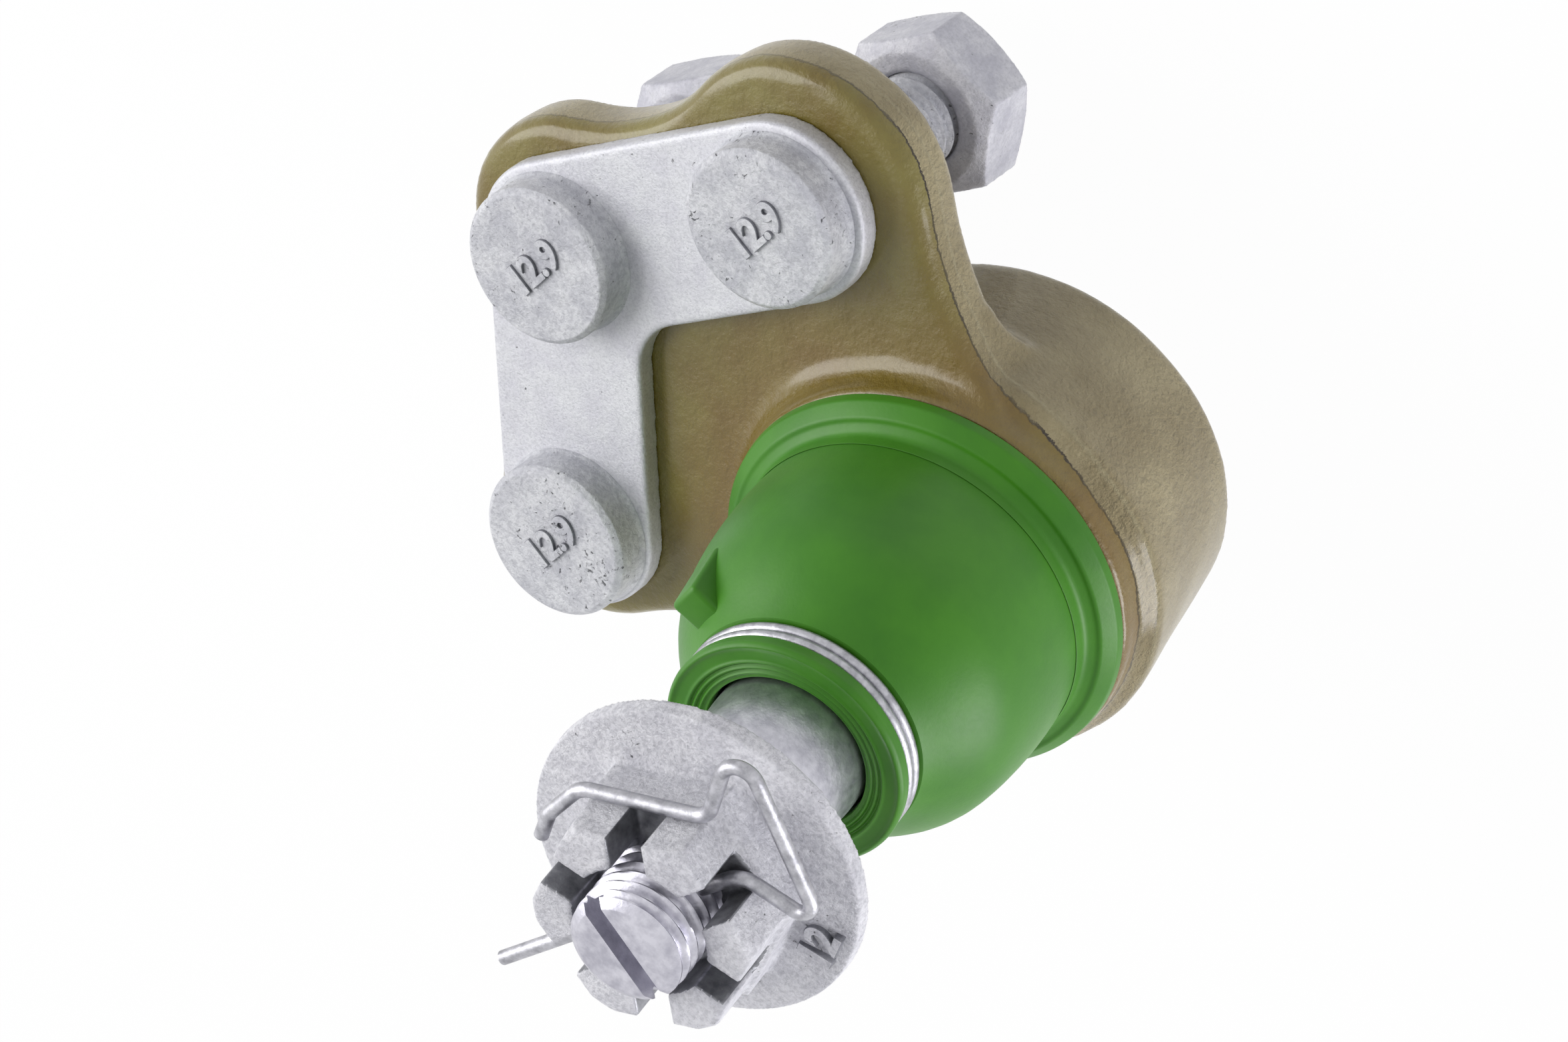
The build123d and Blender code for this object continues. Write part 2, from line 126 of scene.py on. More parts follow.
# %% Helpers for materials
def paint_color(code):
    """sRGB hex to the linear colour that a shader takes."""
    parts = [int(code[i : i + 2], 16) / 255 for i in (1, 3, 5)]
    return [p / 12.92 if p <= 0.04045 else ((p + 0.055) / 1.055) ** 2.4 for p in parts] + [1.0]


def grain(size):
    """Noise scale whose grains are about this many millimetres across."""
    return 1000.0 / size


def add_node(tree, kind, settings=(), links=()):
    """Add one shader node, with its settings and the sockets that feed it."""
    node = tree.nodes.new(kind)
    for key, value in dict(settings).items():
        if isinstance(key, str) and hasattr(node, key):
            setattr(node, key, value)
        else:
            node.inputs[key].default_value = value
    for key, source in dict(links).items():
        tree.links.new(source, node.inputs[key])
    return node


def start_material(name, settings):
    """A Principled surface with its plain numbers set, and the coordinates of its patterns."""
    material = bpy.data.materials.new(name)
    material.use_nodes = True
    tree = material.node_tree
    surface = tree.nodes["Principled BSDF"]
    for key, value in settings.items():
        surface.inputs[key].default_value = value
    place = add_node(tree, "ShaderNodeTexCoord").outputs["Object"]
    return material, tree, surface, place


def finish_material(material):
    """Say how many nodes a finished material has, and hand it on."""
    print(material.name, "has", len(material.node_tree.nodes), "nodes")
    return material


def wear(piece, material):
    """Give a whole piece one material."""
    piece.data.materials.clear()
    piece.data.materials.append(material)


# %% [markdown]
# ## Zinc flake coating
# The plate, bolts and nuts are dipped in a flake coating: tiny zinc platelets in a thin binder.
# The binder hides part of the metal, so it is a pale silver grey without a mirror, and only
# partly metallic here. Platelets that lie turned away make a fine grey speckle, and the pin
# holes are dark specks from a noise that only its highest peaks reach. The platelets are too
# small to show in a picture, so the speckle is drawn as coarse as a third to half a millimetre.

# %% Zinc flake
def zinc_flake(name, color, shade, grit, bump, clean):
    """Flake coating on a base of this grit in millimetres, with fewer specks where it is clean."""
    material, tree, surface, place = start_material(
        name, {"Metallic": 0.35, "Specular IOR Level": 0.3}
    )
    patches = add_node(
        tree,
        "ShaderNodeTexNoise",
        {"Scale": grain(4.0), "Detail": 8.0, "Roughness": 0.7},
        {"Vector": place},
    )
    patches = add_node(
        tree,
        "ShaderNodeMapRange",
        {"From Min": 0.38, "From Max": 0.6},
        {"Value": patches.outputs["Fac"]},
    )
    tint = add_node(
        tree,
        "ShaderNodeMix",
        {"data_type": "RGBA", 6: paint_color(shade), 7: paint_color(color)},
        {0: patches.outputs[0]},
    )
    flakes = add_node(
        tree,
        "ShaderNodeTexNoise",
        {"Scale": grain(grit), "Detail": 6.0, "Roughness": 0.75},
        {"Vector": place},
    )
    turned_away = add_node(
        tree,
        "ShaderNodeMapRange",
        {"From Min": 0.4, "From Max": 0.55, "To Min": 0.36, "To Max": 0.0},
        {"Value": flakes.outputs["Fac"]},
    )
    tint = add_node(
        tree,
        "ShaderNodeMix",
        {"data_type": "RGBA", 7: paint_color("#9A9BA3")},
        {0: turned_away.outputs[0], 6: tint.outputs[2]},
    )
    clumps = add_node(
        tree, "ShaderNodeTexNoise", {"Scale": grain(9.0), "Detail": 2.0}, {"Vector": place}
    )
    specks = add_node(
        tree,
        "ShaderNodeTexNoise",
        {"Scale": grain(0.7), "Detail": 4.0, "Roughness": 0.65, "Distortion": 0.6},
        {"Vector": place},
    )
    specks = add_node(
        tree,
        "ShaderNodeMath",
        {"operation": "MULTIPLY_ADD", 1: 0.35},
        {0: clumps.outputs["Fac"], 2: specks.outputs["Fac"]},
    )
    mask = add_node(
        tree,
        "ShaderNodeMapRange",
        {"From Min": clean, "From Max": clean + 0.06},
        {"Value": specks.outputs[0]},
    )
    mark = add_node(
        tree,
        "ShaderNodeMix",
        {"data_type": "RGBA", 7: paint_color("#5F6064")},
        {0: mask.outputs[0], 6: tint.outputs[2]},
    )
    tree.links.new(mark.outputs[2], surface.inputs["Base Color"])
    rough = add_node(
        tree,
        "ShaderNodeMapRange",
        {"From Min": 0.3, "From Max": 0.7, "To Min": 0.3, "To Max": 0.58},
        {"Value": flakes.outputs["Fac"]},
    )
    tree.links.new(rough.outputs[0], surface.inputs["Roughness"])
    dents = add_node(
        tree, "ShaderNodeTexNoise", {"Scale": grain(2.2), "Detail": 3.0}, {"Vector": place}
    )
    skin = add_node(
        tree,
        "ShaderNodeMath",
        {"operation": "MULTIPLY_ADD", 1: 1.6},
        {0: dents.outputs["Fac"], 2: flakes.outputs["Fac"]},
    )
    pits = add_node(
        tree,
        "ShaderNodeMath",
        {"operation": "MULTIPLY_ADD", 1: -0.9},
        {0: mask.outputs[0], 2: skin.outputs[0]},
    )
    relief = add_node(
        tree,
        "ShaderNodeBump",
        {"Strength": 0.8, "Distance": bump * MM},
        {"Height": pits.outputs[0]},
    )
    tree.links.new(relief.outputs[0], surface.inputs["Normal"])
    return finish_material(material)


# %% Zinc flake on its five bases
# Rolled sheet is the smoothest base: an even pale grey with few specks.
zinc_plate = zinc_flake(
    "zinc_flake_on_pressed_steel", "#D9DADE", "#CFCFD6", grit=0.3, bump=0.09, clean=0.87
)
# A cold headed bolt is a little coarser, and its specks are the closest.
zinc_head = zinc_flake(
    "zinc_flake_on_headed_bolt", "#D8D9DD", "#BFC0C7", grit=0.5, bump=0.26, clean=0.82
)
# A cold formed nut is as fine as the sheet, in a slightly darker grey.
zinc_nut = zinc_flake(
    "zinc_flake_on_cold_formed_nut", "#D6D6DC", "#BCBCC6", grit=0.35, bump=0.12, clean=0.86
)
# A forged nut keeps its scale pits, so it has the deepest relief, under the palest coat.
zinc_forged = zinc_flake(
    "zinc_flake_on_forged_nut", "#EAEAEF", "#D6D6DD", grit=0.5, bump=0.4, clean=0.87
)
# The flanks of raised figures get a dark coat: painted shade that stands in for their own shadow.
painted_shade_zinc = zinc_flake(
    "zinc_flake_with_painted_shade", "#85868C", "#6C6D73", grit=0.35, bump=0.1, clean=0.9
)

# %% [markdown]
# ## Olive varnish on the forging
# The housing is hammer forged, blasted and dipped in a thick olive varnish. The varnish is
# glossy and runs smooth, but it carries a slight orange peel, and the forging's hammered skin
# shows through it. Where it lies thick it is a warm brown, and thin places look khaki. The khaki
# side is also painted lighter than the front, as a painted reflection. A clear coat over a rougher
# tinted base gives both the sharp and the soft reflection.

# %% Olive varnish
varnish, tree, surface, place = start_material(
    "olive_varnish_on_forged_steel",
    {
        "IOR": 1.5,
        "Specular IOR Level": 0.3,
        "Coat Weight": 0.7,
        "Coat Roughness": 0.18,
        "Coat IOR": 1.5,
    },
)

# %% [markdown]
# The front face and the trimmed side of the flange have different skins, so the varnish has to
# know how far below the flange's upper face a point lies. The flange is tilted and the cup isn't,
# so the tilt counts only on the flange's side of the axis.

# %% Height over the flange, in millimetres
FLANGE_TILT = radians(8.6)
FLANGE_HEIGHT = 6.5
spot = add_node(tree, "ShaderNodeSeparateXYZ", {}, {0: place})
beside = add_node(tree, "ShaderNodeMath", {"operation": "MAXIMUM", 1: 0.0}, {0: spot.outputs[0]})
above = add_node(
    tree,
    "ShaderNodeMath",
    {"operation": "MULTIPLY_ADD", 1: cos(FLANGE_TILT) / MM, 2: -FLANGE_HEIGHT * cos(FLANGE_TILT)},
    {0: spot.outputs[2]},
)
raised = add_node(
    tree,
    "ShaderNodeMath",
    {"operation": "MULTIPLY_ADD", 1: sin(FLANGE_TILT) / MM},
    {0: beside.outputs[0], 2: above.outputs[0]},
)
print("the flange's upper face is", FLANGE_HEIGHT, "mm over the ball's centre")

# %% [markdown]
# The trimming die tore the flash off the forging and left a ragged line round the flange's side,
# with a low ridge under it. Two noises make the line wander. Both marks fade towards the bolted
# end, as they do on the real piece.

# %% Trimming line and ridge
TRIM_LINE, RIDGE_LINE = -3.15, -4.85
RAGGED, WANDER = 1.0, 1.6
FADE_FROM, FADE_TO = 34, 44
ragged = add_node(
    tree,
    "ShaderNodeTexNoise",
    {"Scale": grain(1.0), "Detail": 5.0, "Roughness": 0.8},
    {"Vector": place},
)
wander = add_node(
    tree, "ShaderNodeTexNoise", {"Scale": grain(14.0), "Detail": 2.0}, {"Vector": place}
)
level = add_node(
    tree,
    "ShaderNodeMath",
    {"operation": "MULTIPLY_ADD", 1: RAGGED},
    {0: ragged.outputs["Fac"], 2: raised.outputs[0]},
)
level = add_node(
    tree,
    "ShaderNodeMath",
    {"operation": "MULTIPLY_ADD", 1: WANDER},
    {0: wander.outputs["Fac"], 2: level.outputs[0]},
)
beyond = add_node(
    tree,
    "ShaderNodeMapRange",
    {"From Min": TRIM_LINE - 0.1, "From Max": TRIM_LINE + 0.15, "To Min": 1.0, "To Max": 0.0},
    {"Value": level.outputs[0]},
)
edge = add_node(
    tree, "ShaderNodeMath", {"operation": "COMPARE", 1: TRIM_LINE, 2: 0.11}, {0: level.outputs[0]}
)
apart = add_node(
    tree, "ShaderNodeMath", {"operation": "ADD", 1: -RIDGE_LINE}, {0: level.outputs[0]}
)
apart = add_node(tree, "ShaderNodeMath", {"operation": "ABSOLUTE"}, {0: apart.outputs[0]})
ridge = add_node(
    tree,
    "ShaderNodeMapRange",
    {"From Min": 0.0, "From Max": 0.35, "To Min": 1.0, "To Max": 0.0},
    {"Value": apart.outputs[0]},
)
flash = add_node(
    tree,
    "ShaderNodeMapRange",
    {"From Min": FADE_FROM * MM, "From Max": FADE_TO * MM, "To Min": 1.0, "To Max": 0.0},
    {"Value": spot.outputs[0]},
)
edge = add_node(
    tree, "ShaderNodeMath", {"operation": "MULTIPLY"}, {0: edge.outputs[0], 1: flash.outputs[0]}
)
ridge = add_node(
    tree, "ShaderNodeMath", {"operation": "MULTIPLY"}, {0: ridge.outputs[0], 1: flash.outputs[0]}
)
lowered = (RAGGED + WANDER) / 2
print("trimming line near", TRIM_LINE - lowered, "and ridge near", RIDGE_LINE - lowered, "mm")

# %% [markdown]
# The front is an olive that turns greener where the varnish is thin, and warm brown beside the
# boot, where it ran together and dried thick. The side beyond the trimming line is a khaki, lighter
# than the front partly for its blasted skin and partly as painted reflection. A pale line along the
# ridge is a painted highlight, and brown runs lie along the trimming line.

# %% Colour of the varnish
WARM_TO, OLIVE_FROM = 25, 32
pools = add_node(
    tree,
    "ShaderNodeTexNoise",
    {"Scale": grain(13.0), "Detail": 5.0, "Roughness": 0.6},
    {"Vector": place},
)
pools = add_node(
    tree,
    "ShaderNodeMapRange",
    {"From Min": 0.36, "From Max": 0.62},
    {"Value": pools.outputs["Fac"]},
)
front = add_node(
    tree,
    "ShaderNodeMix",
    {"data_type": "RGBA", 6: paint_color("#6C5A16"), 7: paint_color("#7C7230")},
    {0: pools.outputs[0]},
)
across = add_node(tree, "ShaderNodeVectorMath", {"operation": "MULTIPLY", 1: (1, 1, 0)}, {0: place})
across = add_node(tree, "ShaderNodeVectorMath", {"operation": "LENGTH"}, {0: across.outputs[0]})
thick = add_node(
    tree,
    "ShaderNodeMapRange",
    {"From Min": WARM_TO * MM, "From Max": OLIVE_FROM * MM, "To Min": 0.4, "To Max": 0.0},
    {"Value": across.outputs["Value"]},
)
front = add_node(
    tree,
    "ShaderNodeMix",
    {"data_type": "RGBA", 7: paint_color("#78571A")},
    {0: thick.outputs[0], 6: front.outputs[2]},
)
# The side's khaki is partly its blasted skin and partly painted reflection, so it is lighter than
# the front.
side = add_node(
    tree,
    "ShaderNodeMix",
    {"data_type": "RGBA", 6: paint_color("#9A8B61"), 7: paint_color("#B8AA80")},
    {0: pools.outputs[0]},
)
tone = add_node(
    tree,
    "ShaderNodeMix",
    {"data_type": "RGBA"},
    {0: beyond.outputs[0], 6: front.outputs[2], 7: side.outputs[2]},
)
# Pale khaki along the ridge is a painted highlight on its rounded edge.
painted_ridge_highlight = add_node(tree, "ShaderNodeMath", {"operation": "MULTIPLY", 1: 0.55}, {0: ridge.outputs[0]})
tone = add_node(
    tree,
    "ShaderNodeMix",
    {"data_type": "RGBA", 7: paint_color("#C2B78F")},
    {0: painted_ridge_highlight.outputs[0], 6: tone.outputs[2]},
)
deep = add_node(
    tree, "ShaderNodeMath", {"operation": "MULTIPLY"}, {0: edge.outputs[0], 1: pools.outputs[0]}
)
tone = add_node(
    tree,
    "ShaderNodeMix",
    {"data_type": "RGBA", 7: paint_color("#41321A")},
    {0: deep.outputs[0], 6: tone.outputs[2]},
)
tree.links.new(tone.outputs[2], surface.inputs["Base Color"])
print("warm brown fades out between", WARM_TO, "and", OLIVE_FROM, "mm from the axis")

# %% [markdown]
# The skin is two noises: hammer marks a few millimetres wide and an orange peel under one
# millimetre. Both are stronger on the blasted side, which is also duller and stands out a little.

# %% Skin of the varnish
rough = add_node(
    tree, "ShaderNodeMapRange", {"To Min": 0.32, "To Max": 0.5}, {"Value": beyond.outputs[0]}
)
tree.links.new(rough.outputs[0], surface.inputs["Roughness"])
hammer = add_node(
    tree,
    "ShaderNodeTexNoise",
    {"Scale": grain(2.6), "Detail": 4.0, "Roughness": 0.6},
    {"Vector": place},
)
peel = add_node(
    tree,
    "ShaderNodeTexNoise",
    {"Scale": grain(0.7), "Detail": 5.0, "Roughness": 0.65},
    {"Vector": place},
)
coarse = add_node(
    tree, "ShaderNodeMapRange", {"To Min": 0.45, "To Max": 1.3}, {"Value": beyond.outputs[0]}
)
skin = add_node(
    tree,
    "ShaderNodeMath",
    {"operation": "MULTIPLY_ADD"},
    {0: peel.outputs["Fac"], 1: coarse.outputs[0], 2: hammer.outputs["Fac"]},
)
rougher = add_node(
    tree, "ShaderNodeMapRange", {"To Min": 1.0, "To Max": 3.6}, {"Value": beyond.outputs[0]}
)
skin = add_node(
    tree, "ShaderNodeMath", {"operation": "MULTIPLY"}, {0: skin.outputs[0], 1: rougher.outputs[0]}
)
skin = add_node(
    tree,
    "ShaderNodeMath",
    {"operation": "MULTIPLY_ADD", 1: 0.6},
    {0: ridge.outputs[0], 2: skin.outputs[0]},
)
skin = add_node(
    tree,
    "ShaderNodeMath",
    {"operation": "MULTIPLY_ADD", 1: 0.5},
    {0: beyond.outputs[0], 2: skin.outputs[0]},
)
relief = add_node(
    tree, "ShaderNodeBump", {"Strength": 0.8, "Distance": 0.45 * MM}, {"Height": skin.outputs[0]}
)
tree.links.new(relief.outputs[0], surface.inputs["Normal"])
finish_material(varnish)

# %% [markdown]
# ## Other metals
# The stud is ground and lightly phosphated: satin, a little lilac, with faint pits. The walls and
# floors of the nut's slots, and its bore, wear a darker, rougher steel. The pin and the ring are
# drawn
# spring wire: its lines are finer than a picture shows, so they are an even fine grain here. The
# cap and the boot's rim are bare pressed steel under a film of oil, clouded in wide patches.

# %% Stud, wire and bare steel
def bare_metal(name, color, shade, patch, roughness, grit, bump):
    """Uncoated steel: patches of tone, an uneven roughness and a fine relief."""
    material, tree, surface, place = start_material(name, {"Metallic": 0.9})
    cloud = add_node(
        tree,
        "ShaderNodeTexNoise",
        {"Scale": grain(patch), "Detail": 5.0, "Roughness": 0.6},
        {"Vector": place},
    )
    cloud = add_node(
        tree,
        "ShaderNodeMapRange",
        {"From Min": 0.35, "From Max": 0.65},
        {"Value": cloud.outputs["Fac"]},
    )
    tint = add_node(
        tree,
        "ShaderNodeMix",
        {"data_type": "RGBA", 6: paint_color(shade), 7: paint_color(color)},
        {0: cloud.outputs[0]},
    )
    tree.links.new(tint.outputs[2], surface.inputs["Base Color"])
    fine = add_node(
        tree,
        "ShaderNodeTexNoise",
        {"Scale": grain(grit), "Detail": 4.0, "Roughness": 0.65},
        {"Vector": place},
    )
    rough = add_node(
        tree,
        "ShaderNodeMapRange",
        {"To Min": roughness - 0.1, "To Max": roughness + 0.1},
        {"Value": fine.outputs["Fac"]},
    )
    tree.links.new(rough.outputs[0], surface.inputs["Roughness"])
    relief = add_node(
        tree,
        "ShaderNodeBump",
        {"Strength": 0.5, "Distance": bump * MM},
        {"Height": fine.outputs["Fac"]},
    )
    tree.links.new(relief.outputs[0], surface.inputs["Normal"])
    return finish_material(material)


# %% Bare metals
# Phosphate on ground steel is satin and a little lilac, in patches of a millimetre or two.
stud_steel = bare_metal(
    "phosphated_ground_steel", "#D0CFD8", "#AFAEB9", patch=1.5, roughness=0.36, grit=0.5, bump=0.06
)
# The nut's slots and bore are darker and rougher, with a close fine grain.
darker_slot_steel = bare_metal(
    "darker_steel_in_the_slots",
    "#A2A3A8",
    "#7E7F84",
    patch=1.2,
    roughness=0.45,
    grit=0.25,
    bump=0.08,
)
# Drawn wire is a mid grey with a fine grain.
spring_wire = bare_metal(
    "drawn_spring_wire", "#C2C2C8", "#98989E", patch=1.2, roughness=0.4, grit=0.25, bump=0.06
)
# Oiled pressed steel is the smoothest, and clouded in wide warm patches.
bare_steel = bare_metal(
    "pressed_bare_steel", "#B5B4B2", "#8D8C8B", patch=4.0, roughness=0.34, grit=0.4, bump=0.03
)

# %% [markdown]
# ## Rubber and plastic
# The boot is moulded polyurethane rubber: an even green, between matte and satin, with a trace of
# pale sheen where it turns away from the eye and a very fine moulded grain.

# %% Boot rubber
rubber, tree, surface, place = start_material(
    "moulded_green_rubber",
    {"IOR": 1.5, "Sheen Weight": 0.06, "Sheen Roughness": 0.4, "Specular IOR Level": 0.4},
)
drift = add_node(
    tree,
    "ShaderNodeTexNoise",
    {"Scale": grain(12.0), "Detail": 4.0, "Roughness": 0.6},
    {"Vector": place},
)
drift = add_node(
    tree,
    "ShaderNodeMapRange",
    {"From Min": 0.35, "From Max": 0.65},
    {"Value": drift.outputs["Fac"]},
)
tone = add_node(
    tree,
    "ShaderNodeMix",
    {"data_type": "RGBA", 6: paint_color("#33740B"), 7: paint_color("#408312")},
    {0: drift.outputs[0]},
)
tree.links.new(tone.outputs[2], surface.inputs["Base Color"])
skin = add_node(
    tree,
    "ShaderNodeTexNoise",
    {"Scale": grain(0.4), "Detail": 4.0, "Roughness": 0.6},
    {"Vector": place},
)
rough = add_node(
    tree, "ShaderNodeMapRange", {"To Min": 0.38, "To Max": 0.5}, {"Value": skin.outputs["Fac"]}
)
tree.links.new(rough.outputs[0], surface.inputs["Roughness"])
relief = add_node(
    tree,
    "ShaderNodeBump",
    {"Strength": 0.35, "Distance": 0.04 * MM},
    {"Height": skin.outputs["Fac"]},
)
tree.links.new(relief.outputs[0], surface.inputs["Normal"])
finish_material(rubber)

# %% [markdown]
# The bearing seat is hidden in the cup. It is white acetal, a hard slippery plastic that looks
# waxy and slightly warm.

# %% Seat plastic
acetal, tree, surface, place = start_material("white_acetal", {"Roughness": 0.45, "IOR": 1.48})
cloud = add_node(
    tree, "ShaderNodeTexNoise", {"Scale": grain(6.0), "Detail": 3.0}, {"Vector": place}
)
tone = add_node(
    tree,
    "ShaderNodeMix",
    {"data_type": "RGBA", 6: paint_color("#E9E7DE"), 7: paint_color("#F3F2EC")},
    {0: cloud.outputs["Fac"]},
)
tree.links.new(tone.outputs[2], surface.inputs["Base Color"])
finish_material(acetal)

# %% [markdown]
# ## Softening a measured solid
# A forged or coated piece has no knife edges. A merged copy of its solid is remeshed into small
# even faces and relaxed a little, which rounds every edge by about one face. That is quicker and
# more even than bevelling the many short edges of a tessellated solid.

# %% Helper that softens a solid
def softened(node, name, face, passes):
    """A copy of a solid with its edges rounded by about one face, a length in millimetres."""
    piece = bpy.data.objects.new(name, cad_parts[node].data.copy())
    bpy.context.scene.collection.objects.link(piece)
    pick(piece)
    bpy.ops.object.mode_set(mode="EDIT")
    bpy.ops.mesh.select_all(action="SELECT")
    bpy.ops.mesh.remove_doubles(threshold=SAME_POINT)
    bpy.ops.object.mode_set(mode="OBJECT")
    apply_modifier(piece, "REMESH", mode="VOXEL", voxel_size=face * MM)
    apply_modifier(piece, "SMOOTH", factor=0.5, iterations=passes)
    smooth(piece, 60)
    return piece


# %% [markdown]
# ## The forged housing
# The cup, its collar and the three-lobed flange are one hammer forging. Its edges are generously
# rounded, so it takes the coarsest faces and the most relaxing. The hammer leaves broad faces
# uneven by less than a tenth of a millimetre, so every corner is moved in or out by a noise.

# %% Forged housing
UNEVEN, HAMMER_MARK = 0.09, 6.0
forging = softened("housing", "forged_housing", face=0.55, passes=5)
facing = [vertex.normal.copy() for vertex in forging.data.vertices]
for vertex, normal in zip(forging.data.vertices, facing):
    vertex.co += normal * UNEVEN * noise.noise(vertex.co * grain(HAMMER_MARK)) * MM
wear(forging, varnish)
done(forging, "socket", ["housing"])

# %% [markdown]
# ## Retainer plate
# The L-shaped plate is stamped from sheet and then coated, so its edges are softened by about a
# quarter of a millimetre.

# %% Retainer plate
plate = softened("retainer_plate", "stamped_plate", face=0.26, passes=3)
wear(plate, zinc_plate)
done(plate, "socket", ["retainer_plate"])

# %% [markdown]
# ## Castellated nut
# It is forged and coated. The walls and floors of its six slots, and the bore, wear a darker steel.
# Those faces are found by their height, direction and bearing.

# %% Castellated nut
CROWN_TURN = 14.5
SLOT_FLOOR = 58.9, 59.9
BORE_WALL, SLOT_REACH = 7.4, 11
crown = softened("castle_nut", "castellated_nut", face=0.26, passes=2)
wear(crown, zinc_forged)
# The slot faces and the bore get the darker steel.
crown.data.materials.append(darker_slot_steel)
for polygon in crown.data.polygons:
    x, y, z = polygon.center / MM
    radius = (x * x + y * y) ** 0.5
    turn = (degrees(atan2(polygon.normal.y, polygon.normal.x)) + CROWN_TURN + 30) % 60 - 30
    bearing = (degrees(atan2(y, x)) + CROWN_TURN) % 60 - 30
    slot_side = abs(turn) < 14 and abs(bearing) < 18
    wall = abs(polygon.normal.z) < 0.6 and (slot_side or radius < BORE_WALL)
    bottom = polygon.normal.z > 0.6 and z < SLOT_FLOOR[1] and radius < SLOT_REACH
    if z > SLOT_FLOOR[0] and (wall or bottom):
        polygon.material_index = 1
done(crown, "stud", ["castle_nut"])

# %% [markdown]
# ## Plain nuts
# The three hexagon nuts on the bolts' ends are cold formed and a little crisper than the plate.

# %% Plain nuts
for place_name in ("corner", "near", "far"):
    nut = softened("nut_" + place_name, "hexagon_nut_" + place_name, face=0.24, passes=2)
    wear(nut, zinc_nut)
    done(nut, "socket", ["nut_" + place_name])

# %% [markdown]
# ## Turned pieces
# The stud, the bolts and the boot are turned shapes. Each starts as a ring of points, laid out as
# the outline of half its section, which is spun once round the axis. Corners of the outline are
# rounded first, by short curves of a given length.

# %% Helpers for turned pieces
def rounded(outline):
    """Outline of (radius, height, rounding) points with each corner rounded."""
    points = []
    count = len(outline)
    for i, (r, z, size) in enumerate(outline):
        here = Vector((r, z))
        if not size:
            points.append(here)
            continue
        before = Vector(outline[i - 1][:2]) - here
        after = Vector(outline[(i + 1) % count][:2]) - here
        size = min(size, before.length * 0.45, after.length * 0.45)
        start, end = here + before.normalized() * size, here + after.normalized() * size
        for step in range(5):
            t = step / 4
            points.append(start * (1 - t) ** 2 + here * 2 * t * (1 - t) + end * t**2)
    return points


def turned(name, points, steps):
    """Spin a closed outline, in millimetres, once round the Z axis."""
    bpy.ops.object.select_all(action="DESELECT")
    bpy.ops.mesh.primitive_circle_add(vertices=len(points))
    piece = bpy.context.object
    piece.name = name
    for vertex, (r, z) in zip(piece.data.vertices, points):
        vertex.co = (r * MM, 0, z * MM)
    bpy.ops.object.mode_set(mode="EDIT")
    bpy.ops.mesh.select_all(action="SELECT")
    bpy.ops.mesh.spin(steps=steps, angle=2 * pi, center=(0, 0, 0), axis=(0, 0, 1))
    bpy.ops.mesh.select_all(action="SELECT")
    bpy.ops.mesh.remove_doubles(threshold=SAME_POINT)
    bpy.ops.mesh.delete_loose()
    bpy.ops.mesh.select_all(action="SELECT")
    bpy.ops.mesh.normals_make_consistent(inside=False)
    bpy.ops.object.mode_set(mode="OBJECT")
    return piece


def ladder(radius, low, high, step):
    """Close rungs up a cylinder, so that a thread can be cut into it."""
    count = int(round((high - low) / step))
    return [(radius, low + (high - low) * i / count) for i in range(count + 1)]


def cut_thread(piece, radius, depth, pitch, low, high):
    """Press a sharp helical groove into a turned piece between two heights."""
    for vertex in piece.data.vertices:
        x, y, z = vertex.co / MM
        r = (x * x + y * y) ** 0.5
        if r < radius - depth or r > radius + 0.01 or not low <= z <= high:
            continue
        phase = (z / pitch - atan2(y, x) / (2 * pi)) % 1.0
        tooth = min(max((abs(2 * phase - 1) - 0.12) / 0.72, 0), 1)
        fade = min((z - low) / pitch, 1) * min((high - z) / (0.5 * pitch) + 0.25, 1)
        lower = min(r, radius - depth * tooth * fade)
        vertex.co.x *= lower / r
        vertex.co.y *= lower / r


# %% [markdown]
# ## Ball stud
# One forging: the ball, a waist, the taper that seats in the knuckle and a rolled thread. Its tip
# has a slot, so that a driver can hold the stud while the nut is turned.

# %% Outline of the stud
BALL_R, BALL_FLAT = 14.0, -13.2
WAIST_R, WAIST_TOP = 6.0, 15.0
SHOULDER_R, SHOULDER_LOW = 8.35, 26.0
THREAD_R, TIP = 6.0, 68.3
waist_z = (BALL_R**2 - WAIST_R**2) ** 0.5
outline = [(BALL_R * sin(radians(a)), -BALL_R * cos(radians(a))) for a in range(20, 154, 4)]
outline = [(0, BALL_FLAT), (4.6, BALL_FLAT)] + outline
outline += [(WAIST_R, waist_z), (WAIST_R, WAIST_TOP)]
for step in range(1, 12):
    t = step / 12
    outline.append((WAIST_R + 2.35 * (3 * t * t - 2 * t**3), WAIST_TOP + 11.0 * t))
outline += [(SHOULDER_R, SHOULDER_LOW), (SHOULDER_R, 36.4)]
outline += [(8.33, 36.8), (7.43, 51.6), (5.3, 52.0), (5.3, 53.0), (THREAD_R, 53.8)]
outline += ladder(THREAD_R, low=54.0, high=67.3, step=0.16)
outline += [(5.86, 67.6), (5.0, 68.25), (4.85, TIP), (0, TIP)]
print("stud outline has", len(outline), "points")

# %% Ball stud
THREAD_DEPTH, PITCH = 0.85, 1.5
SLOT_SIZE, SLOT_BEARING = (24, 2.1, 4.8), 165.0
stud = turned("ball_stud_forging", outline, steps=112)
cut_thread(stud, THREAD_R, THREAD_DEPTH, PITCH, low=54.2, high=67.5)
bpy.ops.object.select_all(action="DESELECT")
bpy.ops.mesh.primitive_cube_add(
    size=1, location=(0, 0, TIP * MM), rotation=(0, 0, radians(SLOT_BEARING))
)
slot_tool = bpy.context.object
slot_tool.scale = [length * MM for length in SLOT_SIZE]
settle(slot_tool)
apply_modifier(stud, "BOOLEAN", operation="DIFFERENCE", object=slot_tool, solver="EXACT")
bpy.data.objects.remove(slot_tool)
smooth(stud, 32)
wear(stud, stud_steel)
done(stud, "stud", ["ball_stud"])
